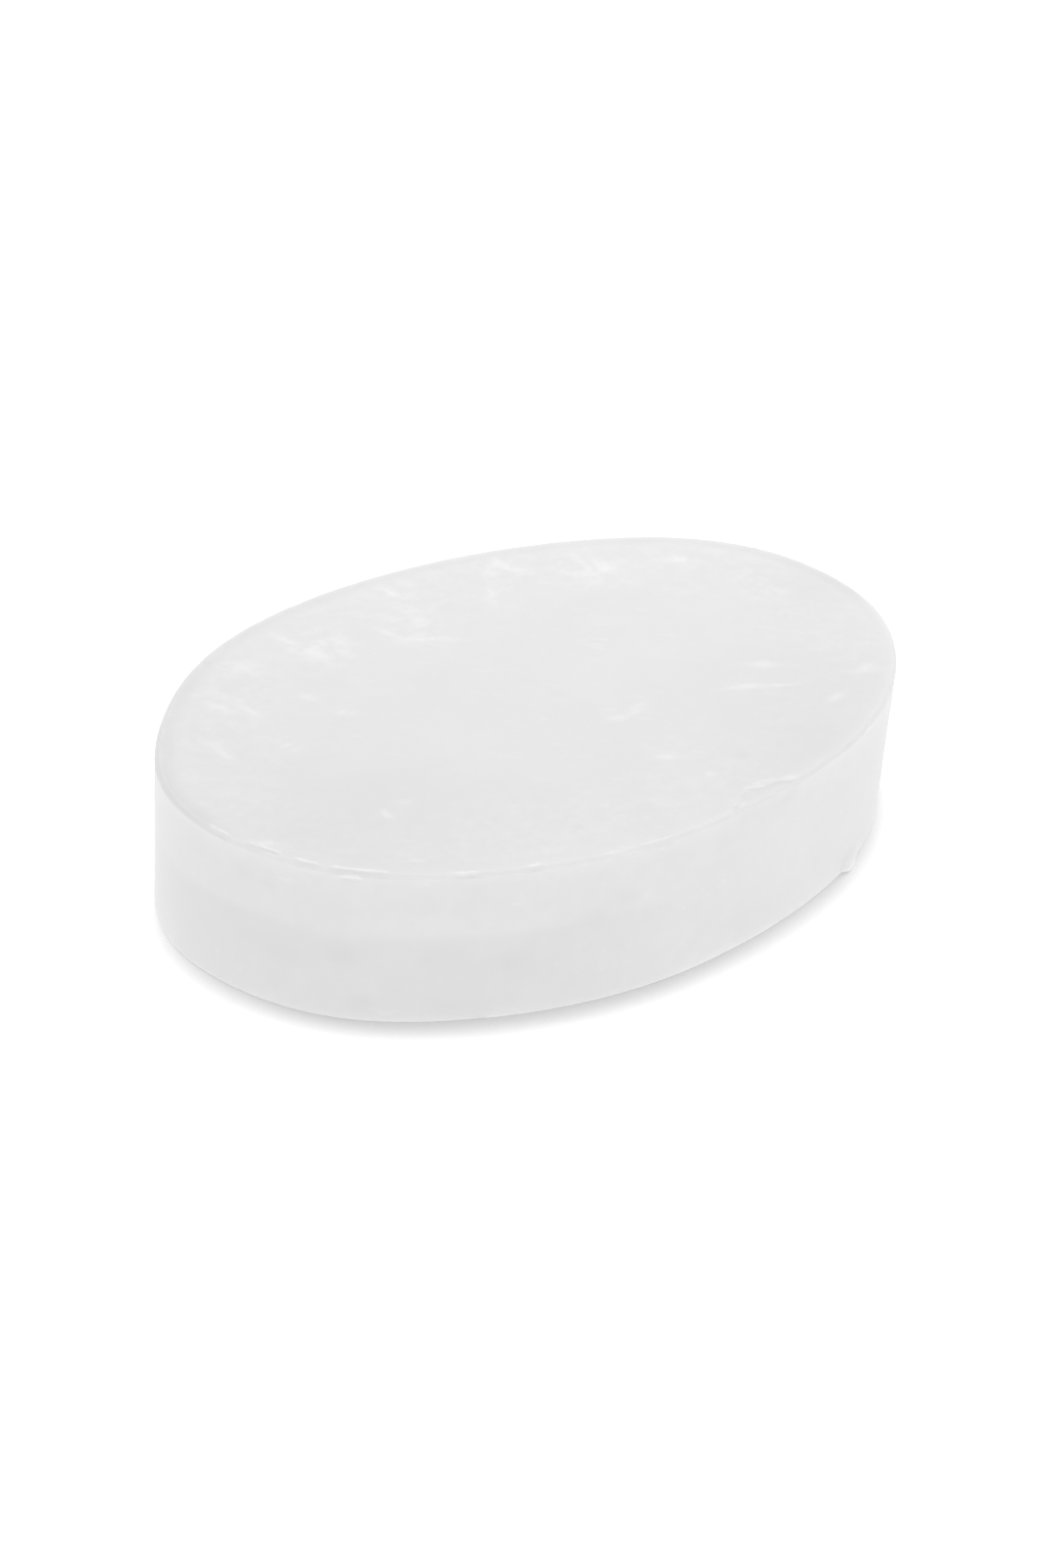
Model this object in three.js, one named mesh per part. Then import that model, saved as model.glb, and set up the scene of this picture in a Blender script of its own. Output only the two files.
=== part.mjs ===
// A shaving soap puck: one oval block of hard, translucent white soap. Its top and base are flat
// and parallel, its wall stands straight up, and both rims are rounded.
// Millimetres, +Z up, the long way of the oval along X. The origin is the middle of the base.

import * as THREE from 'three';

// Driving dimensions, in millimetres.
const LENGTH = 75;
const WIDTH = 50;
const THICKNESS = 15;
const RIM_RADIUS = 0.4; // where the wall rolls over onto the top and under to the base

// How finely the curves are cut into flats.
const OUTLINE_FLATS = 128; // around the oval; a multiple of 4 keeps the full length and width
const RIM_FLATS = 4; // across each rounded rim

// Hard white soap: a neutral, faintly waxy white that scatters light below its surface.
const SOAP_COLOUR = 0xe8e8e7;
const SOAP_ROUGHNESS = 0.5;

/** The oval that the puck is cast to, seen from above, at its full size. */
function ovalOutline() {
  const outline = new THREE.Shape();
  outline.absellipse(0, 0, LENGTH / 2, WIDTH / 2, 0, 2 * Math.PI, false, 0);
  return outline;
}

/**
 * The oval drawn upwards into a block. The bevel is turned inwards by the rim radius, so that
 * the wall stands on the outline itself and the flat faces end one rim radius inside it.
 */
function roundedBlock(outline) {
  const block = new THREE.ExtrudeGeometry(outline, {
    depth: THICKNESS - 2 * RIM_RADIUS,
    curveSegments: OUTLINE_FLATS / 2, // an ellipse is cut into twice this many flats
    bevelEnabled: true,
    bevelThickness: RIM_RADIUS,
    bevelSize: RIM_RADIUS,
    bevelOffset: -RIM_RADIUS,
    bevelSegments: RIM_FLATS,
  });
  block.translate(0, 0, RIM_RADIUS); // the lower bevel starts below zero, so lift it onto its base
  return block;
}

/** The puck: the whole object is this one homogeneous body, with nothing joined to it. */
function makeSoapPuck() {
  const soap = new THREE.MeshStandardMaterial({
    color: SOAP_COLOUR,
    roughness: SOAP_ROUGHNESS,
    metalness: 0,
  });
  const puck = new THREE.Mesh(roundedBlock(ovalOutline()), soap);
  puck.name = 'soap_puck';
  return puck;
}

const shavingSoapPuck = new THREE.Group();
shavingSoapPuck.add(makeSoapPuck());

export default shavingSoapPuck;
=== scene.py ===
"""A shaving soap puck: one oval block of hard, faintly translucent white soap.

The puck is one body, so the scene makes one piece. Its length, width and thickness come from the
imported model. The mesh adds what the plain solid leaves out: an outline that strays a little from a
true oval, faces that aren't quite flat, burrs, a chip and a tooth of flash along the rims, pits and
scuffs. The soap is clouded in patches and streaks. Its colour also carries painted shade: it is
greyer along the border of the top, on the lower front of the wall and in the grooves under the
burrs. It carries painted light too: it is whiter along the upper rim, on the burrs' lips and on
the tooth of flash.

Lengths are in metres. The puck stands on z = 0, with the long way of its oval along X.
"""

import math
from collections import namedtuple

import bpy
import numpy as np
from mathutils import Matrix, Vector, noise


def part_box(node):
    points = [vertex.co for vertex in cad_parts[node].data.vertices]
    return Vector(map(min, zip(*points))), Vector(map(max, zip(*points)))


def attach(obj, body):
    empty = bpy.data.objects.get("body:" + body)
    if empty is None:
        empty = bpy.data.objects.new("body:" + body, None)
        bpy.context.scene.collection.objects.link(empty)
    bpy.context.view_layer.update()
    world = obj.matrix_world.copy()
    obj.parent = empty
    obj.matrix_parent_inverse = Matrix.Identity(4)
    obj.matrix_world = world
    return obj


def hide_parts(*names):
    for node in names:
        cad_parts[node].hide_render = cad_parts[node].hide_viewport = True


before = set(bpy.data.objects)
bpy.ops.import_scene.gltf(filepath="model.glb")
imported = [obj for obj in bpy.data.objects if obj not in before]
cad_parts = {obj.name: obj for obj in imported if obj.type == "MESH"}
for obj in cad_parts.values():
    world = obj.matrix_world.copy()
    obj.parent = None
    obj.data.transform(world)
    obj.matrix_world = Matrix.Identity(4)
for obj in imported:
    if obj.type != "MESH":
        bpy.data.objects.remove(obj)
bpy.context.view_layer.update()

MM = 0.001
NODE = "soap_puck"

low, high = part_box(NODE)
HALF_LENGTH = (high.x - low.x) / 2
HALF_WIDTH = (high.y - low.y) / 2
THICKNESS = high.z - low.z
MIDDLE = (low + high) / 2

# ---------------------------------------------------------------- the plain shape

# How far the outline strays from a true oval: waves around it, and their two parts as shares of
# the distance from the middle.
OUTLINE_WAVES = (
    (3, 0.0081, 0.0024),
    (4, -0.0038, 0.0048),
    (5, -0.0048, -0.0005),
    (6, 0.0003, -0.0014),
    (7, 0.0001, 0.0012),
    (8, 0.0002, -0.0028),
)
RIM_RADIUS = 0.4 * MM  # where the wall rolls over onto the top
FOOT_RADIUS = 0.15 * MM  # where it turns in under the base

COLUMNS = 800  # points around the outline, fewer towards the middle of the top and the base
SAMPLES_PER_COLUMN = 40  # for measuring lengths along the outline
FINE_STEP = 0.09 * MM  # between rows on and beside the upper rim
FOOT_STEP = 0.8 * FINE_STEP  # between rows around the foot
FACE_STEP = 0.27 * MM  # between rows on the outer part of the top
COARSE_STEP = 0.5 * MM  # between rows on the wall, and half the step between rows on the base
BORDER = 1.3 * MM  # width of the more finely divided border beside a rim
WALL_BORDER = 1.5 * BORDER  # and below the upper rim, where the burrs' grooves and the chip reach
CORE_INSET = 10.5 * MM  # further in than this, rows are smaller copies of one ring
CORE_SMALLEST = 0.04  # size of the innermost ring, as a share of the ring at CORE_INSET
CORE_ROWS, BASE_CORE_ROWS = 26, 8
# Rows of the core have half of the columns, then a quarter below the first of these sizes and an
# eighth below the second.
CORE_HALVINGS = (0.6, 0.25)
BASE_CORE_HALVINGS = (1.1, 0.4)

# A row of points around the puck: how far inside the outline it lies, its height, how far its
# normal is tilted from straight up, how far along the surface it lies beyond the edge of the flat
# top, its size as a share of the ring at CORE_INSET, and how many points it has.
Row = namedtuple("Row", "inset height tilt travel size columns")


def even_outline():
    """Points at even steps around the outline, their outward normals, and how far along each is."""
    turn = np.linspace(0, 2 * np.pi, SAMPLES_PER_COLUMN * COLUMNS, endpoint=False)
    reach = np.ones_like(turn)
    for waves, cosine_part, sine_part in OUTLINE_WAVES:
        reach += cosine_part * np.cos(waves * turn) + sine_part * np.sin(waves * turn)
    dense = np.stack([reach * np.cos(turn), reach * np.sin(turn)], axis=1)
    lowest, highest = dense.min(axis=0), dense.max(axis=0)
    dense = (2 * dense - lowest - highest) / (highest - lowest)
    dense *= (HALF_LENGTH, HALF_WIDTH)
    steps = np.linalg.norm(np.roll(dense, -1, axis=0) - dense, axis=1)
    travelled = np.concatenate([[0], np.cumsum(steps)])
    along = np.linspace(0, travelled[-1], COLUMNS, endpoint=False)
    closed = np.vstack([dense, dense[:1]])
    points = np.stack([np.interp(along, travelled, closed[:, i]) for i in (0, 1)], axis=1)
    tangents = np.roll(points, -1, axis=0) - np.roll(points, 1, axis=0)
    tangents /= np.linalg.norm(tangents, axis=1)[:, None]
    normals = np.stack([tangents[:, 1], -tangents[:, 0]], axis=1)
    return points, normals, along


def steps_between(start, end, step):
    """Values from start up to but not including end, about step apart."""
    count = max(1, round(abs(end - start) / step))
    return np.linspace(start, end, count, endpoint=False)


def core_columns(size, halvings):
    """How many points a row of the core has, so that they don't crowd together in the middle."""
    quarter_below, eighth_below = halvings
    if size > quarter_below:
        return COLUMNS // 2
    return COLUMNS // 4 if size > eighth_below else COLUMNS // 8


def mesh_rows():
    """The rows from the middle of the top, over the rim, down the wall and in under the base."""
    rim_arc = RIM_RADIUS * math.pi / 2
    rows = []
    for size in np.linspace(CORE_SMALLEST, 1, CORE_ROWS, endpoint=False):
        columns = core_columns(size, CORE_HALVINGS)
        rows.append(Row(CORE_INSET, THICKNESS, 0, RIM_RADIUS - CORE_INSET, size, columns))
    top_edge = RIM_RADIUS + BORDER
    insets = [*steps_between(CORE_INSET, top_edge, FACE_STEP)]
    insets += [*steps_between(top_edge, RIM_RADIUS, FINE_STEP)]
    rows += [Row(inset, THICKNESS, 0, RIM_RADIUS - inset, 1, COLUMNS) for inset in insets]
    for tilt in steps_between(0, math.pi / 2, FINE_STEP / RIM_RADIUS):
        inset = RIM_RADIUS * (1 - math.sin(tilt))
        height = THICKNESS - RIM_RADIUS * (1 - math.cos(tilt))
        rows.append(Row(inset, height, tilt, RIM_RADIUS * tilt, 1, COLUMNS))
    top_of_wall = THICKNESS - RIM_RADIUS
    heights = [*steps_between(top_of_wall, top_of_wall - WALL_BORDER, FINE_STEP)]
    heights += [*steps_between(heights[-1] - FINE_STEP, FOOT_RADIUS + BORDER, COARSE_STEP)]
    heights += [*steps_between(FOOT_RADIUS + BORDER, FOOT_RADIUS, 2 * FINE_STEP)]
    for height in heights:
        travel = rim_arc + top_of_wall - height
        rows.append(Row(0, height, math.pi / 2, travel, 1, COLUMNS))
    wall_end = rim_arc + top_of_wall - FOOT_RADIUS
    for tilt in steps_between(math.pi / 2, math.pi, FOOT_STEP / FOOT_RADIUS):
        inset = FOOT_RADIUS * (1 - math.sin(tilt))
        height = FOOT_RADIUS * (1 + math.cos(tilt))
        travel = wall_end + FOOT_RADIUS * (tilt - math.pi / 2)
        rows.append(Row(inset, height, tilt, travel, 1, COLUMNS))
    base_start = wall_end + FOOT_RADIUS * math.pi / 2 - FOOT_RADIUS
    for inset in steps_between(FOOT_RADIUS, CORE_INSET, 2 * COARSE_STEP):
        columns = COLUMNS if inset < BORDER else COLUMNS // 2
        rows.append(Row(inset, 0, math.pi, base_start + inset, 1, columns))
    for size in np.linspace(1, CORE_SMALLEST, BASE_CORE_ROWS):
        columns = core_columns(size, BASE_CORE_HALVINGS)
        rows.append(Row(CORE_INSET, 0, math.pi, base_start + CORE_INSET, size, columns))
    return rows


def stitched(upper, lower):
    """Faces between two rows of vertex numbers, where one row may have half as many as the other."""
    faces = []
    if len(upper) == len(lower):
        for i, (a, b) in enumerate(zip(upper, lower)):
            j = (i + 1) % len(upper)
            faces.append((a, b, lower[j], upper[j]))
        return faces
    fine, coarse = (upper, lower) if len(upper) > len(lower) else (lower, upper)
    for i, here in enumerate(coarse):
        there = coarse[(i + 1) % len(coarse)]
        first, middle = fine[2 * i], fine[2 * i + 1]
        last = fine[(2 * i + 2) % len(fine)]
        three = [(here, first, middle), (here, middle, there), (there, middle, last)]
        faces += three if coarse is upper else [face[::-1] for face in three]
    return faces


# Every point of the puck with its normal, the level direction out of the nearest stretch of
# outline, the inset and travel of its row, and how far along the outline it lies.
Surface = namedtuple("Surface", "points normals outward inset travel along faces")


def plain_surface():
    """The puck before any unevenness: its points, and where on the puck each one lies."""
    outline, outline_normals, along = even_outline()
    core = outline - CORE_INSET * outline_normals
    parts = {name: [] for name in ("points", "normals", "outward", "inset", "travel", "along")}
    faces, previous, total = [], None, 0
    for row in mesh_rows():
        pick = slice(None, None, COLUMNS // row.columns)
        flat = outline[pick] - row.inset * outline_normals[pick]
        if row.size < 1:
            flat = core[pick] * row.size
        side = outline_normals[pick]
        height = np.full((row.columns, 1), row.height)
        up = np.full((row.columns, 1), math.cos(row.tilt))
        parts["points"].append(np.hstack([flat, height]))
        parts["normals"].append(np.hstack([side * math.sin(row.tilt), up]))
        parts["outward"].append(np.hstack([side, 0 * up]))
        # Inside the core the nearest stretch of outline is about this far away.
        depth = row.inset + (1 - row.size) * (HALF_WIDTH - CORE_INSET)
        parts["inset"].append(np.full(row.columns, depth))
        parts["travel"].append(np.full(row.columns, row.travel))
        parts["along"].append(along[pick])
        numbers = list(range(total, total + row.columns))
        total += row.columns
        if previous is None:
            top_ring = numbers
        else:
            faces += stitched(previous, numbers)
        previous = numbers
    faces += capped(top_ring, total) + [face[::-1] for face in capped(previous, total + 1)]
    for height, up in ((THICKNESS, 1), (0, -1)):
        parts["points"].append([[0, 0, height]])
        parts["normals"].append([[0, 0, up]])
        parts["outward"].append([[0, 0, 0]])
        parts["inset"].append([HALF_WIDTH])
        parts["travel"].append([-HALF_WIDTH])
        parts["along"].append([0])
    joined = {name: np.concatenate(values) for name, values in parts.items()}
    return Surface(faces=faces, **joined)


def capped(ring, middle):
    """The fan of triangles that closes a ring around its middle vertex."""
    return [(middle, a, b) for a, b in zip(ring, ring[1:] + ring[:1])]


# ---------------------------------------------------------------- unevenness

# Burrs along the upper rim: (angle around the oval in degrees, length, how far over the rim, and
# strength), where 0 over the rim is the edge of the flat top. Each is a raised lip with a groove
# under it. The lip is coloured whiter, partly as crushed soap and partly as a painted highlight.
# The groove is coloured greyer, as painted shade.
BURRS = (
    (-171.4, 2.4, 0.05, 0.8),
    (-163.0, 1.6, -0.20, 0.5),
    (-160.2, 2.4, -0.40, 0.8),
    (-152.7, 2.2, -0.20, 0.9),
    (-144.0, 4.9, -0.15, 1.1),
    (-144.7, 1.8, 0.60, 0.6),
    (-134.5, 1.8, -1.80, 0.4),
    (-127.7, 2.3, 0.10, 1.1),
    (-118.0, 1.4, 0.00, 1.1),
    (-105.7, 3.0, 0.20, 0.5),
    (-100.0, 3.0, 0.05, 0.5),
    (-55.0, 1.6, 0.50, 0.4),
    (22.0, 2.6, 0.40, 0.5),
    (61.0, 1.9, 0.30, 0.4),
    (104.0, 2.4, 0.50, 0.4),
    (149.0, 1.8, 0.35, 0.5),
)
LIP_HEIGHT, LIP_WIDTH = 0.11 * MM, 0.19 * MM
GROOVE_DEPTH, GROOVE_WIDTH = 0.08 * MM, 0.18 * MM
GROOVE_DROP = 0.38 * MM  # the groove runs this far below the lip
# Painted shade: how much greyer a burr's groove is coloured.
GROOVE_PAINTED_SHADE = 0.4
BURR_WANDER, BURR_WANDER_SIZE = 0.16 * MM, 1.5 * MM  # how a burr strays from a straight run
BURR_MEAN, BURR_UNEVENNESS, BURR_UNEVENNESS_SIZE = 0.75, 0.5, 0.7 * MM  # its height along the run
BURR_END = (-0.2 * MM, 0.5 * MM)  # it rises from nothing to its full height over this stretch

# The chip at the front right of the upper rim: a shallow facet between its two ends along X,
# deepest at the rim.
CHIP_START, CHIP_WIDEST, CHIP_END = 1.5 * MM, 5.4 * MM, 11.0 * MM
CHIP_WIDTH = 2.4 * MM
CHIP_RAGGEDNESS, CHIP_RAGGEDNESS_SIZE = 0.5 * MM, 1.3 * MM  # of the facet's inner edge
CHIP_DEPTH = 0.12 * MM
CHIP_BOTTOM = (0.5 * MM, 2.2 * MM)  # the facet runs out down the wall over this stretch of travel
CHIP_FULL_WIDTH = 0.8 * MM  # where the facet is narrower than this, it is shallower too
CHIP_LIP, CHIP_EDGE_WIDTH, CHIP_WHITENESS = 0.05 * MM, 0.18 * MM, 0.4
CHIP_CRUMB_SIZE, CHIP_CRUMBS = 1.1 * MM, (-0.1, 0.45)  # the white of the edge is broken up
LEAST_WIDTH = 0.1 * MM  # stands in for no width at all where something is divided by it

# The tooth of flash at the foot of the wall: steep on one side of its angle, drawn out on the
# other, and thickest low down.
FLASH_ANGLE = -56.9
FLASH_REACH = 0.55 * MM
FLASH_RISE, FLASH_FALL = (-0.6 * MM, 0.1 * MM), (0.1 * MM, 3.4 * MM)
FLASH_HEIGHT = 2.0 * MM
FLASH_THICKEST = 0.2 * FLASH_HEIGHT
# Painted light: the tooth's colour is made whiter to offset the darker shading on its upper slope.
FLASH_PAINTED_LIGHT = 0.35

# Scuffs on the top, where the soap is crushed white: (x, y, heading in degrees, length, width).
SCUFFS = (
    (-26.0, 12.7, -67, 2.9, 0.36),
    (-24.7, 14.3, -67, 2.1, 0.40),
    (-24.1, 10.9, -78, 2.3, 0.34),
    (-29.8, 6.6, -84, 2.8, 0.40),
    (-24.4, 4.4, -63, 2.2, 0.36),
    (-17.0, 6.1, -51, 1.5, 0.36),
    (-18.3, 10.1, -64, 1.5, 0.34),
    (-14.4, 19.2, -69, 2.5, 0.36),
    (-13.5, 16.0, -66, 1.9, 0.40),
    (-5.8, 15.4, -75, 2.9, 0.34),
    (-3.3, 12.7, -31, 4.8, 0.36),
    (-1.3, 21.6, -73, 2.8, 0.40),
    (11.6, 18.9, -52, 3.2, 0.60),
    (6.9, 16.6, 62, 3.8, 0.36),
    (20.3, -7.2, -32, 2.4, 0.50),
    (16.5, -9.4, -22, 4.1, 0.36),
    (19.4, -10.8, -32, 2.3, 0.30),
    (22.3, -15.2, 14, 2.2, 0.36),
    (27.9, -12.7, 3, 1.8, 0.60),
    (2.8, -14.6, -38, 2.0, 0.45),
    (3.1, -7.3, -20, 2.0, 0.36),
    (5.4, -7.1, 21, 3.0, 0.34),
    (26.6, 11.9, -31, 2.7, 0.60),
    (17.9, 16.3, -92, 3.1, 0.40),
    (19.0, 14.7, -3, 2.2, 0.60),
    (31.0, 2.8, -68, 1.6, 0.40),
    (-23.4, -9.0, -85, 1.5, 0.34),
    (-21.1, -8.4, -45, 1.4, 0.34),
    (-34.4, -7.2, -36, 2.2, 0.45),
    (4.1, -18.9, -40, 0.6, 0.30),
    (6.7, -22.2, 15, 1.0, 0.25),
    (7.8, -22.4, -20, 1.8, 0.16),
    (9.8, -23.1, -25, 1.6, 0.32),
    (3.4, -24.0, 10, 0.9, 0.30),
)
SCUFF_RELIEF = 0.03 * MM
SCUFF_WHITENESS = 0.44
SCUFF_WANDER, SCUFF_WANDER_SIZE = 0.25, 1.4 * MM  # the first in millimetres, as the scuffs are
SCUFF_TAPER = 1.8  # a scuff has faded by half of its length; larger is sooner

# Cloudy flakes lie all through the soap, most thickly in a band around the top.
TOP_CLOUDING, BAND_CLOUDING, WALL_CLOUDING = 0.16, 0.22, 0.14
BAND_START, BAND_END = (0.8 * MM, 2.5 * MM), (6 * MM, 12 * MM)
# They are thicker still in patches: (x, y, size, strength).
CLOUDS = (
    (11.0, 20.0, 3.2, 1.0),
    (18.0, 15.5, 4.2, 1.0),
    (23.5, 8.5, 3.2, 0.5),
    (27.0, 12.0, 2.6, 0.8),
    (31.0, 4.5, 4.0, 0.8),
    (34.5, -1.0, 3.0, 0.5),
    (27.5, -13.0, 2.8, 0.5),
    (-1.0, 21.0, 3.6, 0.7),
    (-2.5, 16.0, 4.6, 0.8),
    (-12.5, 17.0, 3.8, 1.0),
    (-20.5, 17.5, 3.0, 0.7),
    (-25.0, 13.5, 3.4, 0.7),
    (-30.0, 9.5, 3.2, 0.6),
    (6.5, 17.0, 2.6, 0.6),
    (17.0, -10.0, 3.6, 0.35),
    (3.5, -13.5, 3.2, 0.4),
    (-24.0, -9.0, 3.2, 0.45),
    (-14.0, -14.0, 4.0, 0.35),
    (9.0, 4.5, 3.0, 0.25),
)

# Painted shade: the soap is coloured a little greyer in a border around the top, most at the back,
# where the rim rolls away from the light. It is also greyer on the lower part of the wall along one
# stretch of it, below a soft line that stands for the floor's shadow reflected in the wall.
BORDER_FADE = (0.5 * MM, 2.2 * MM)
BORDER_PAINTED_SHADE = 0.62
BORDER_ENDS = (-0.35, 0.0)  # as shares of the half width: the border fades out towards the front
SHADE_LINE_HEIGHT, SHADE_LINE_SOFTNESS = 8.7 * MM, 1.0 * MM
SHADE_LINE_WAVINESS, SHADE_LINE_WAVE_SIZE = 0.25 * MM, 6 * MM
SHADE_LINE_ANGLE, SHADE_LINE_REACH, SHADE_LINE_FADE = -140.0, 14 * MM, 20 * MM
LOWER_WALL_PAINTED_SHADE = 0.3

# Painted light: the upper rim is coloured a little whiter, all round but most of all at the front, to
# offset the darker shading of the rounded rim. The lighter line lies this far beyond the edge of
# the flat top.
PAINTED_RIM_LIGHT_TRAVEL, PAINTED_RIM_LIGHT_WIDTH = 0.24 * MM, 0.22 * MM
PAINTED_RIM_LIGHT_STRENGTH = (0.05, 0.33)  # at the back and at the front
PAINTED_RIM_LIGHT_ENDS = (-0.2, 0.2)  # as shares of the half width, between the front and the back
PAINTED_RIM_LIGHT_PATCHINESS, PAINTED_RIM_LIGHT_PATCH_SIZE = 0.3, 2.5 * MM

# Clearer patches of the top: (x, y, size, strength).
CLEAR_PATCHES = (
    (-26.0, -8.0, 8.0, 0.30),
    (14.0, -21.0, 8.0, 0.30),
    (23.0, -14.0, 8.0, 0.24),
    (34.0, 2.0, 5.0, 0.28),
)

# Clearer spots on the wall: (angle around the oval in degrees, height, size, strength). They are
# drawn out along the wall.
SPOT_STRETCH = 1.5
WALL_SPOTS = (
    (-145.7, 6.6, 1.1, 0.28),
    (-156.6, 5.4, 1.3, 0.22),
    (-142.7, 1.9, 0.9, 0.26),
    (-131.0, 6.6, 1.5, 0.14),
    (-121.0, 5.6, 1.2, 0.24),
    (-116.5, 4.9, 1.4, 0.12),
    (-108.7, 9.2, 0.9, 0.22),
    (-104.0, 10.0, 0.7, 0.16),
    (-137.2, 11.9, 0.9, 0.10),
    (-164.0, 12.2, 0.8, 0.16),
    (-159.1, 12.1, 0.5, 0.18),
    (-140.0, 14.0, 0.5, 0.16),
    (-126.5, 13.7, 0.7, 0.14),
    (-120.2, 13.9, 0.5, 0.14),
    (-130.5, 1.4, 1.1, 0.14),
    (-180.0, 9.0, 8.0, 0.26),
    (-84.0, 2.5, 3.0, 0.22),
    (-46.0, 5.5, 6.5, 0.26),
    (40.0, 6.0, 1.4, 0.14),
    (75.0, 4.0, 1.2, 0.16),
    (118.0, 8.5, 1.3, 0.12),
    (152.0, 5.0, 1.1, 0.14),
)

PITS, PIT_SEED = 70, 12
PIT_SIZES = (0.25 * MM, 0.7 * MM)
PIT_DEPTH_SHARE = 0.10  # of a pit's radius
SWELL = 0.05 * MM  # broad unevenness of the faces
SWELL_SIZE = 14 * MM
RIPPLE = 0.012 * MM  # finer unevenness
RIPPLE_SIZE = 1.6 * MM

# The wall and its rounded foot lie within the first of these distances of the outline, and the
# upper rim within the second.
FOOT_INSET, RIM_INSET = 1.2 * RIM_RADIUS, 2 * RIM_RADIUS
# The top is scuffed, bordered and clouded above these heights.
SCUFFED_ABOVE = THICKNESS - 0.5 * RIM_RADIUS
BORDERED_ABOVE = THICKNESS - RIM_RADIUS
CLOUDED_ABOVE = THICKNESS - 1.5 * RIM_RADIUS


def lumps(points, size, seed):
    """Smooth noise from about -1 to 1 at each point, with lumps about size across."""
    shift = Vector((seed, 2 * seed, 3 * seed))
    return np.array([noise.noise(Vector(point) / size + shift) for point in points])


def bell(distance, width):
    """1 at no distance, falling smoothly to nothing a few widths away."""
    return np.exp(-((distance / width) ** 2))


def ramp(value, start, end):
    """0 before start, 1 after end, and a smooth climb between them."""
    share = np.clip((value - start) / (end - start), 0, 1)
    return share * share * (3 - 2 * share)


def around(surface, angle_degrees):
    """How far each point lies along the outline from the given angle of the oval, in metres."""
    angle = math.radians(angle_degrees)
    target = np.array([HALF_LENGTH * math.cos(angle), HALF_WIDTH * math.sin(angle)])
    wall = np.flatnonzero((surface.inset == 0) & (surface.points[:, 2] > THICKNESS / 2))
    nearest = wall[np.argmin(np.linalg.norm(surface.points[wall, :2] - target, axis=1))]
    whole = surface.along.max() * COLUMNS / (COLUMNS - 1)
    return (surface.along - surface.along[nearest] + whole / 2) % whole - whole / 2


def burrs(surface):
    """From 0 to 1, how much of a burr's lip and of a burr's groove there is at each point."""
    lips = np.zeros(len(surface.points))
    grooves = np.zeros(len(surface.points))
    wander = BURR_WANDER * lumps(surface.points, BURR_WANDER_SIZE, seed=5)
    ragged = BURR_MEAN + BURR_UNEVENNESS * lumps(surface.points, BURR_UNEVENNESS_SIZE, seed=6)
    for angle, length, over_rim, strength in BURRS:
        from_end = length * MM / 2 - np.abs(around(surface, angle))
        amount = strength * ragged * ramp(from_end, *BURR_END)
        travel = surface.travel - over_rim * MM + wander
        lips = np.maximum(lips, amount * bell(travel, LIP_WIDTH))
        grooves = np.maximum(grooves, amount * bell(travel - GROOVE_DROP, GROOVE_WIDTH))
    return lips, grooves


def chip(surface):
    """The shallow facet of the chip, with a fine lip along its inner edge, and how white it is."""
    x, y = surface.points[:, 0], surface.points[:, 1]
    width = CHIP_WIDTH * np.interp(x, (CHIP_START, CHIP_WIDEST, CHIP_END), (0, 1, 0))
    width += CHIP_RAGGEDNESS * lumps(surface.points, CHIP_RAGGEDNESS_SIZE, seed=8) * (width > 0)
    from_top = np.maximum(-surface.travel + RIM_RADIUS, 0)
    here = (width > 0) & (y < 0) & (surface.points[:, 2] > THICKNESS / 2)
    share = np.clip(1 - from_top / np.maximum(width, LEAST_WIDTH), 0, 1)
    below = 1 - ramp(surface.travel, *CHIP_BOTTOM)
    ends = ramp(width, 0, CHIP_FULL_WIDTH)
    facet = -CHIP_DEPTH * share * below * ends
    edge = ends * bell(from_top - width, CHIP_EDGE_WIDTH)
    crumbs = ramp(lumps(surface.points, CHIP_CRUMB_SIZE, seed=9), *CHIP_CRUMBS) * here
    return here * (facet + CHIP_LIP * edge), edge * crumbs


def flash_reach(surface):
    """How far the tooth of flash stands out from the foot of the wall."""
    distance = around(surface, FLASH_ANGLE)
    rise = ramp(distance, *FLASH_RISE)
    fall = 1 - ramp(distance, *FLASH_FALL)
    height = surface.points[:, 2]
    low_down = 1 - ramp(height, FLASH_THICKEST, FLASH_HEIGHT)
    on_wall = surface.inset < FOOT_INSET
    return FLASH_REACH * rise * fall * low_down * on_wall


def pit_relief(surface, chance):
    """Small round hollows, scattered at random over the whole puck."""
    relief = np.zeros(len(surface.points))
    for place in chance.choice(len(surface.points), PITS, replace=False):
        radius = chance.uniform(*PIT_SIZES)
        distance = np.linalg.norm(surface.points - surface.points[place], axis=1)
        relief -= PIT_DEPTH_SHARE * radius * bell(distance, radius)
    return relief


def scuffing(surface):
    """From 0 to 1, how much the top is scuffed white at each point."""
    top = surface.points[:, 2] > SCUFFED_ABOVE
    spots = surface.points[:, :2] / MM
    wander = SCUFF_WANDER * lumps(surface.points, SCUFF_WANDER_SIZE, seed=11)
    amount = np.zeros(len(spots))
    for x, y, heading, length, width in SCUFFS:
        turn = math.radians(heading)
        offset = spots - (x, y)
        forward = offset @ (math.cos(turn), math.sin(turn))
        sideways = offset @ (-math.sin(turn), math.cos(turn)) + wander
        mark = bell(sideways, width) * bell(forward, length / SCUFF_TAPER)
        amount = np.maximum(amount, SCUFF_WHITENESS * mark)
    return amount * top


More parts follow.
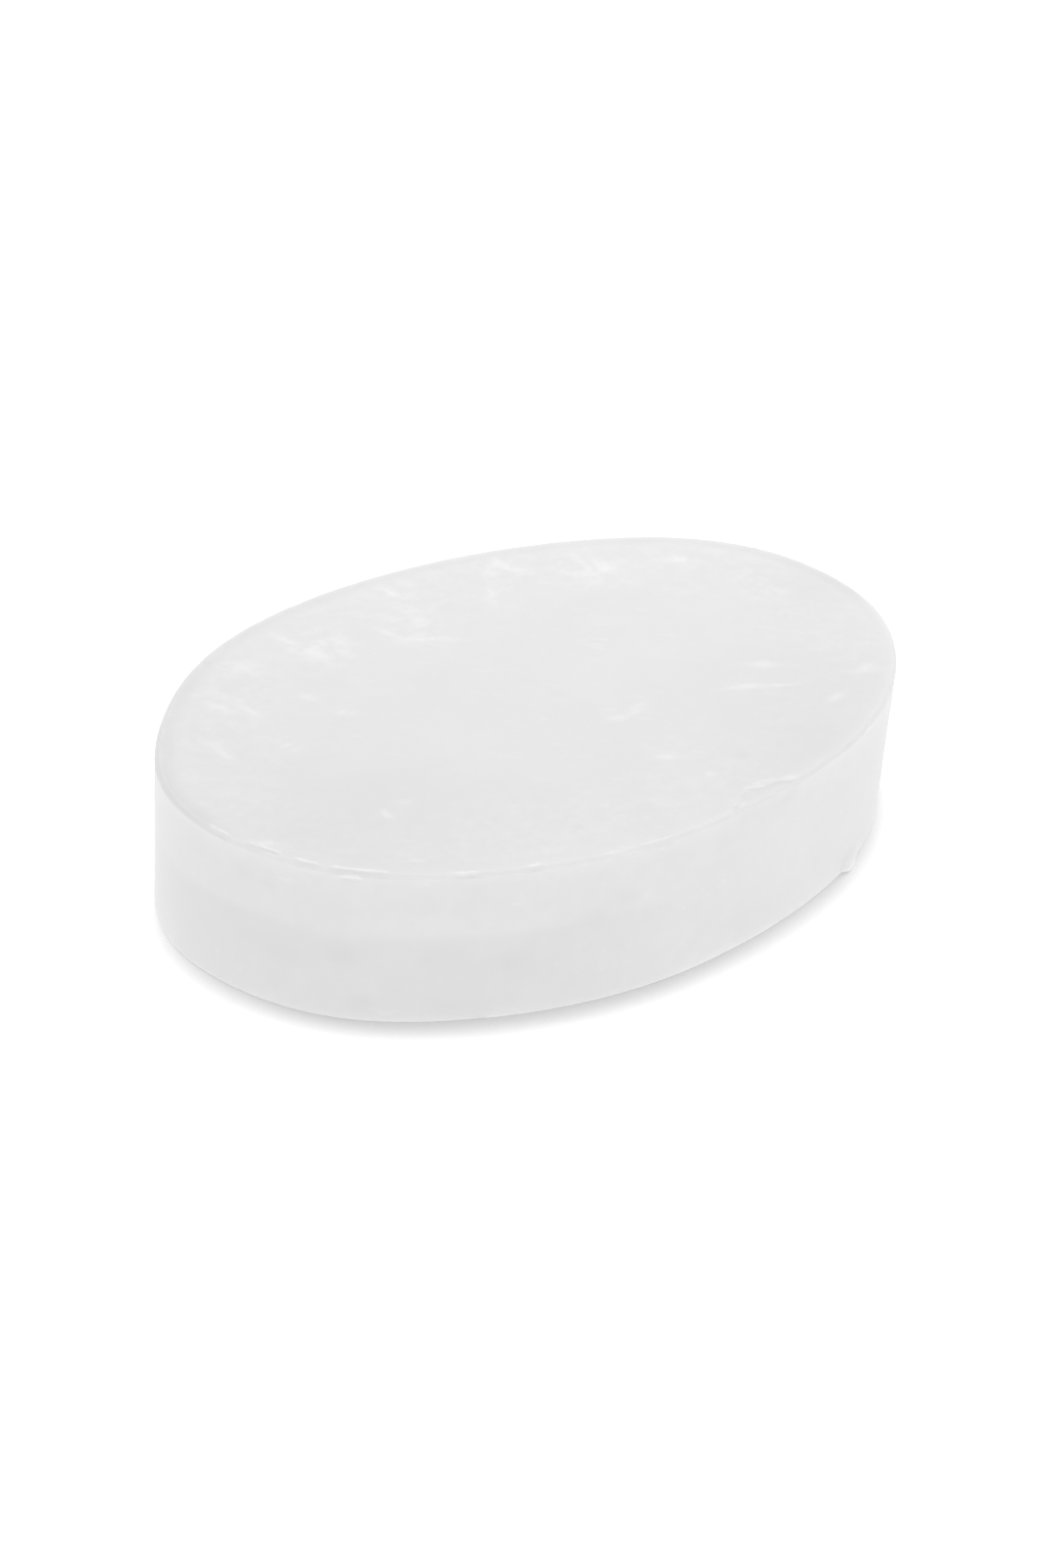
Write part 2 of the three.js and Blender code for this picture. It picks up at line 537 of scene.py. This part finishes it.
def clouding(surface):
    """From 0 to 1, how thick the cloudy flakes are at each point."""
    spots = surface.points[:, :2] / MM
    top = surface.points[:, 2] > CLOUDED_ABOVE
    outer_band = ramp(surface.inset, *BAND_START) * (1 - ramp(surface.inset, *BAND_END))
    amount = np.where(top, TOP_CLOUDING + BAND_CLOUDING * outer_band, WALL_CLOUDING)
    for x, y, size, strength in CLOUDS:
        distance = np.linalg.norm(spots - (x, y), axis=1)
        amount = np.maximum(amount, strength * bell(distance, size) * top)
    return amount


def painted_rim_light(surface):
    """From 0 to 1, how much painted light whitens the upper rim at each point."""
    at_back = ramp(surface.points[:, 1] / HALF_WIDTH, *PAINTED_RIM_LIGHT_ENDS)
    least, most = PAINTED_RIM_LIGHT_STRENGTH
    patchy = 1 + PAINTED_RIM_LIGHT_PATCHINESS * lumps(surface.points, PAINTED_RIM_LIGHT_PATCH_SIZE, seed=31)
    amount = (most + (least - most) * at_back) * patchy
    return amount * bell(surface.travel - PAINTED_RIM_LIGHT_TRAVEL, PAINTED_RIM_LIGHT_WIDTH)


def clearness_and_painted_shade(surface):
    """From 0 to 1, how much greyer the soap is coloured at each point: clearer soap in patches and
    spots, and painted shade in the border around the top and on the lower part of the wall.
    """
    height = surface.points[:, 2]
    on_wall = surface.inset < RIM_INSET
    on_top = height > BORDERED_ABOVE
    # Painted shade along the border of the top, fading out towards the front.
    border = on_top * (1 - ramp(surface.inset, *BORDER_FADE))
    border *= ramp(surface.points[:, 1] / HALF_WIDTH, *BORDER_ENDS)
    # Painted shade on the lower part of the wall, below a soft line.
    shade_line = SHADE_LINE_HEIGHT + SHADE_LINE_WAVINESS * lumps(surface.points, SHADE_LINE_WAVE_SIZE, seed=21)
    below = 1 - ramp(height, shade_line - SHADE_LINE_SOFTNESS / 2, shade_line + SHADE_LINE_SOFTNESS / 2)
    from_middle = np.abs(around(surface, SHADE_LINE_ANGLE))
    stretch = 1 - ramp(from_middle, SHADE_LINE_REACH, SHADE_LINE_REACH + SHADE_LINE_FADE)
    shaded_low_zone = below * stretch * on_wall
    amount = BORDER_PAINTED_SHADE * border + LOWER_WALL_PAINTED_SHADE * shaded_low_zone
    spots = surface.points[:, :2] / MM
    for x, y, size, strength in CLEAR_PATCHES:
        distance = np.linalg.norm(spots - (x, y), axis=1)
        amount += strength * bell(distance, size) * on_top
    for angle, spot_height, size, strength in WALL_SPOTS:
        across = around(surface, angle) / SPOT_STRETCH
        distance = np.hypot(across, height - spot_height * MM)
        amount += strength * bell(distance, size * MM) * on_wall
    return np.clip(amount, 0, 1)


def uneven_points(surface, scuffs, lips, grooves, chipped):
    """The surface's points with all the relief added, and nothing pushed below the base."""
    chance = np.random.default_rng(PIT_SEED)
    relief = SWELL * lumps(surface.points, SWELL_SIZE, seed=1)
    relief += RIPPLE * lumps(surface.points, RIPPLE_SIZE, seed=2)
    relief += chipped + pit_relief(surface, chance)
    relief += LIP_HEIGHT * lips - GROOVE_DEPTH * grooves + SCUFF_RELIEF * scuffs
    resting = surface.points[:, 2] < FOOT_RADIUS
    relief[resting] = np.minimum(relief[resting], 0)
    moved = surface.points + relief[:, None] * surface.normals
    moved += flash_reach(surface)[:, None] * surface.outward
    moved[:, 2] = np.maximum(moved[:, 2], 0)
    return moved


def make_puck():
    """The puck's mesh, with the values stored on it that its material reads."""
    surface = plain_surface()
    scuffs = scuffing(surface)
    lips, grooves = burrs(surface)
    chipped, chip_edge = chip(surface)
    points = uneven_points(surface, scuffs, lips, grooves, chipped)
    points[:, :2] += (MIDDLE.x, MIDDLE.y)
    points[:, 2] += low.z
    mesh = bpy.data.meshes.new("soap_block")
    mesh.from_pydata(points.tolist(), [], surface.faces)
    mesh.polygons.foreach_set("use_smooth", [True] * len(mesh.polygons))
    # The tooth of flash is coloured whiter here as painted light.
    flash = FLASH_PAINTED_LIGHT * flash_reach(surface) / FLASH_REACH
    whitened = np.maximum.reduce([lips, painted_rim_light(surface), CHIP_WHITENESS * chip_edge, flash])
    values = {
        "cloud": clouding(surface),
        "scuff": scuffs,
        "whitened_edges_and_painted_light": np.clip(whitened, 0, 1),
        # The burrs' grooves are greyed here as painted shade.
        "clearness_and_painted_shade": np.clip(clearness_and_painted_shade(surface) + GROOVE_PAINTED_SHADE * grooves, 0, 1),
    }
    for name, amounts in values.items():
        layer = mesh.attributes.new(name, "FLOAT", "POINT")
        layer.data.foreach_set("value", amounts.astype(np.float32))
    mesh.validate()
    mesh.update()
    puck = bpy.data.objects.new("soap_block", mesh)
    bpy.context.collection.objects.link(puck)
    return puck


# ---------------------------------------------------------------- material

PLAIN_SOAP = (0.770, 0.770, 0.770, 1)
CLOUDY_SOAP = (0.87, 0.87, 0.87, 1)
# Also the colour of the painted light on the upper rim, the burrs' lips and the tooth of flash.
WHITE_SOAP_AND_PAINTED_LIGHT = (0.93, 0.93, 0.93, 1)
# Also the colour of the painted shade in the top's border, on the lower wall and in the burrs'
# grooves.
GREYER_SOAP_AND_PAINTED_SHADE = (0.69, 0.69, 0.69, 1)

# The streaks in the soap are drawn out along one heading, by this much.
STREAK_HEADING, STREAK_STRETCH = math.radians(-48), 3.2
MOTTLE_SIZE, STREAK_SIZE, HAZE_SIZE, GRAIN_SIZE = 1.8 * MM, 0.8 * MM, 6 * MM, 0.35 * MM
# The stretches of noise over which each kind of white fades in.
FLAKE_RANGE, FLECK_RANGE = (0.36, 0.70), (0.60, 0.80)
CRUSHED_RANGE, HAZE_RANGE = (0.20, 0.50), (0.3, 0.75)
FLECK_WHITENESS, HAZE_WHITENESS = 0.30, 0.14
SMOOTHEST, ROUGHNESS_SPREAD, ROUGHNESS_RANGE = 0.34, 0.16, (0.2, 0.8)
GRAIN_DEPTH, GRAIN_STRENGTH = 0.02 * MM, 0.25
SCATTER_WEIGHT, SCATTER_REACH = 0.6, 2.0 * MM


def add(tree, kind, inputs=None, **settings):
    """A shader node with its settings, and each input set to a value or fed by another socket."""
    made = tree.nodes.new("ShaderNode" + kind)
    for name, value in settings.items():
        setattr(made, name, value)
    for name, value in (inputs or {}).items():
        if isinstance(value, bpy.types.NodeSocket):
            tree.links.new(value, made.inputs[name])
        else:
            made.inputs[name].default_value = value
    return made


def noise_at(tree, place, size, detail, roughness):
    """Noise with lumps about size across, in the object's own space."""
    inputs = {"Vector": place, "Scale": 1 / size, "Detail": detail, "Roughness": roughness}
    return add(tree, "TexNoise", inputs).outputs["Fac"]


def between(tree, value, start, end, amount=1.0):
    """0 where value is below start, rising smoothly to amount where it passes end."""
    inputs = {"Value": value, "From Min": start, "From Max": end, "To Max": amount}
    made = add(tree, "MapRange", inputs, interpolation_type="SMOOTHSTEP")
    return made.outputs["Result"]


def combine(tree, operation, first, second, clamp=False):
    """One step of arithmetic on two values."""
    made = add(tree, "Math", {0: first, 1: second}, operation=operation, use_clamp=clamp)
    return made.outputs[0]


def blend_colours(tree, amount, first, second):
    """The first colour where amount is 0, the second where it is 1, and mixtures between."""
    made = add(tree, "Mix", data_type="RGBA")
    for socket, value in ((made.inputs[0], amount), (made.inputs[6], first), (made.inputs[7], second)):
        if isinstance(value, bpy.types.NodeSocket):
            tree.links.new(value, socket)
        else:
            socket.default_value = value
    return made.outputs[2]


def soap_material():
    """Clouded soap: flakes, flecks and haze of white, clearer zones and scuffed white marks, with
    painted light that whitens some edges and painted shade that greys some zones.
    """
    material = bpy.data.materials.new("clouded_soap")
    material.use_nodes = True
    tree = material.node_tree
    tree.nodes.clear()
    place = add(tree, "TexCoord").outputs["Object"]
    drawn_out = add(
        tree,
        "Mapping",
        {"Vector": place, "Rotation": (0, 0, STREAK_HEADING), "Scale": (STREAK_STRETCH, 1, 1)},
        vector_type="TEXTURE",
    ).outputs["Vector"]
    cloud = add(tree, "Attribute", attribute_name="cloud").outputs["Fac"]
    scuff = add(tree, "Attribute", attribute_name="scuff").outputs["Fac"]
    whitened_edges_and_painted_light = add(tree, "Attribute", attribute_name="whitened_edges_and_painted_light").outputs["Fac"]
    clearness_and_painted_shade = add(tree, "Attribute", attribute_name="clearness_and_painted_shade").outputs["Fac"]

    mottle = noise_at(tree, place, MOTTLE_SIZE, detail=6, roughness=0.62)
    streaks = noise_at(tree, drawn_out, STREAK_SIZE, detail=3, roughness=0.5)
    haze = noise_at(tree, place, HAZE_SIZE, detail=3, roughness=0.5)

    flakes = combine(tree, "MULTIPLY", cloud, between(tree, mottle, *FLAKE_RANGE))
    flecks = between(tree, streaks, *FLECK_RANGE, FLECK_WHITENESS)
    scuffs_and_painted_light = combine(tree, "MULTIPLY", scuff, between(tree, mottle, *CRUSHED_RANGE))
    # Painted light whitens here along with the scuffs and the chip's edge.
    scuffs_and_painted_light = combine(tree, "MAXIMUM", scuffs_and_painted_light, whitened_edges_and_painted_light)
    veil = between(tree, haze, *HAZE_RANGE, HAZE_WHITENESS)
    white = combine(tree, "ADD", flakes, flecks)
    white = combine(tree, "ADD", white, veil, clamp=True)
    colour = blend_colours(tree, white, PLAIN_SOAP, CLOUDY_SOAP)
    # Painted shade greys here along with the clearer soap.
    colour = blend_colours(tree, clearness_and_painted_shade, colour, GREYER_SOAP_AND_PAINTED_SHADE)
    colour = blend_colours(tree, scuffs_and_painted_light, colour, WHITE_SOAP_AND_PAINTED_LIGHT)

    grain = noise_at(tree, place, GRAIN_SIZE, detail=3, roughness=0.6)
    roughness = between(tree, mottle, *ROUGHNESS_RANGE, ROUGHNESS_SPREAD)
    roughness = combine(tree, "ADD", roughness, SMOOTHEST)
    bump = add(tree, "Bump", {"Strength": GRAIN_STRENGTH, "Distance": GRAIN_DEPTH, "Height": grain})
    soap = add(
        tree,
        "BsdfPrincipled",
        {
            "Base Color": colour,
            "Roughness": roughness,
            "IOR": 1.46,
            "Subsurface Weight": SCATTER_WEIGHT,
            "Subsurface Radius": (1.0, 1.0, 1.0),
            "Subsurface Scale": SCATTER_REACH,
            "Normal": bump.outputs["Normal"],
        },
    )
    output = add(tree, "OutputMaterial")
    tree.links.new(soap.outputs["BSDF"], output.inputs["Surface"])
    return material


# ---------------------------------------------------------------- stage, light and camera

FLOOR_SIZE = 4.0
PAPER_WHITE = 0.35
PAPER_GLOW = 0.85
CONTACT_REACH = 5 * MM  # the contact shadow comes from what is nearer than this
# It starts where the paper is less open than the first of these, deepens at the rate of the
# second, and takes away no more of the glow than the third.
CONTACT_OPENNESS, CONTACT_DEPTH, CONTACT_DARKEST = 0.70, 1.58, 0.64
INDIRECT_SHADE = 0.3  # the share of it that also dims the light on the foot of the wall
# The paper is open where nothing stands near it around this direction, so the contact shadow
# falls on the other side of the puck.
OPEN_HEADING, OPEN_ELEVATION = math.radians(60.0), math.radians(50.0)
SKY_STRENGTH = 0.82  # as a light; the camera sees a sky of pure white
KEY_HEADING, KEY_ELEVATION = math.radians(50.0), math.radians(40.0)
KEY_DISTANCE, KEY_SIZE, KEY_POWER = 0.28, 0.20, 0.19  # in metres, metres and watts
CAMERA_HEADING, CAMERA_ELEVATION = math.radians(-129.7), math.radians(32.88)
CAMERA_ROLL = math.radians(4.15)
CAMERA_DISTANCE = 0.2937
LENS = 73.88
SENSOR = 36.0
NEAREST_SEEN = 0.01
# The view is aimed a little to the left of the puck's middle and below it.
AIM_RIGHT, AIM_UP = -0.93 * MM, -2.18 * MM


def direction(heading, elevation):
    """The unit vector towards a heading, turned from +X towards +Y, and an elevation above it."""
    level = math.cos(elevation)
    return Vector((level * math.cos(heading), level * math.sin(heading), math.sin(elevation)))


def light_table_material():
    """White paper lit from below. It glows less right beside what stands on it."""
    material = bpy.data.materials.new("white_paper")
    material.use_nodes = True
    tree = material.node_tree
    tree.nodes.clear()
    open_side = direction(OPEN_HEADING, OPEN_ELEVATION)
    looking = add(tree, "CombineXYZ", dict(zip("XYZ", open_side)))
    inputs = {"Distance": CONTACT_REACH, "Normal": looking.outputs["Vector"]}
    openness = add(tree, "AmbientOcclusion", inputs, samples=16).outputs["AO"]
    shade = combine(tree, "SUBTRACT", CONTACT_OPENNESS, openness)
    shade = combine(tree, "MULTIPLY", shade, CONTACT_DEPTH, clamp=True)
    shade = combine(tree, "MINIMUM", shade, CONTACT_DARKEST)
    seen = add(tree, "LightPath").outputs["Is Camera Ray"]
    seen = combine(tree, "MAXIMUM", seen, INDIRECT_SHADE)
    shown = combine(tree, "SUBTRACT", 1.0, combine(tree, "MULTIPLY", shade, seen))
    paper = add(
        tree,
        "BsdfPrincipled",
        {
            "Base Color": (PAPER_WHITE, PAPER_WHITE, PAPER_WHITE, 1),
            "Roughness": 0.9,
            "Specular IOR Level": 0.1,
            "Emission Color": (1, 1, 1, 1),
            "Emission Strength": combine(tree, "MULTIPLY", shown, PAPER_GLOW),
        },
    )
    output = add(tree, "OutputMaterial")
    tree.links.new(paper.outputs["BSDF"], output.inputs["Surface"])
    return material


def make_floor():
    """A wide sheet of the glowing paper, for the puck to lie on."""
    half = FLOOR_SIZE / 2
    corners = [(-half, -half, 0), (half, -half, 0), (half, half, 0), (-half, half, 0)]
    mesh = bpy.data.meshes.new("floor")
    mesh.from_pydata(corners, [], [(0, 1, 2, 3)])
    mesh.materials.append(light_table_material())
    floor = bpy.data.objects.new("floor", mesh)
    bpy.context.collection.objects.link(floor)


def make_world():
    """An even white sky, which lights the puck a little less brightly than it looks."""
    world = bpy.data.worlds.new("studio")
    bpy.context.scene.world = world
    world.use_nodes = True
    tree = world.node_tree
    seen = add(tree, "LightPath").outputs["Is Camera Ray"]
    strength = combine(tree, "MAXIMUM", seen, SKY_STRENGTH)
    background = tree.nodes["Background"]
    background.inputs["Color"].default_value = (1, 1, 1, 1)
    tree.links.new(strength, background.inputs["Strength"])


def make_key_light():
    """One softbox, straight behind the puck as the camera sees it."""
    light = bpy.data.lights.new("key_softbox", "AREA")
    light.shape = "SQUARE"
    light.size = KEY_SIZE
    light.energy = KEY_POWER
    towards = direction(KEY_HEADING, KEY_ELEVATION)
    softbox = bpy.data.objects.new("key_softbox", light)
    softbox.location = MIDDLE + KEY_DISTANCE * towards
    softbox.rotation_euler = towards.to_track_quat("Z", "Y").to_euler()
    bpy.context.collection.objects.link(softbox)


def make_camera():
    """The camera, in front of the puck and to its left, looking down on it with a slight roll."""
    back = direction(CAMERA_HEADING, CAMERA_ELEVATION)
    right = Vector((-math.sin(CAMERA_HEADING), math.cos(CAMERA_HEADING), 0))
    up = back.cross(right)
    aim = MIDDLE + AIM_RIGHT * right + AIM_UP * up
    turned = Matrix.Rotation(CAMERA_ROLL, 3, "Z")
    axes = Matrix((right, up, back)).transposed() @ turned
    data = bpy.data.cameras.new("camera")
    data.sensor_width = SENSOR
    data.lens = LENS
    data.clip_start = NEAREST_SEEN
    camera = bpy.data.objects.new("camera", data)
    camera.matrix_world = Matrix.Translation(aim + CAMERA_DISTANCE * back) @ axes.to_4x4()
    bpy.context.collection.objects.link(camera)
    bpy.context.scene.camera = camera


puck = make_puck()
puck.data.materials.append(soap_material())
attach(puck, "root")
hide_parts(NODE)

make_floor()
make_world()
make_key_light()
make_camera()
bpy.context.scene.view_settings.view_transform = "Standard"
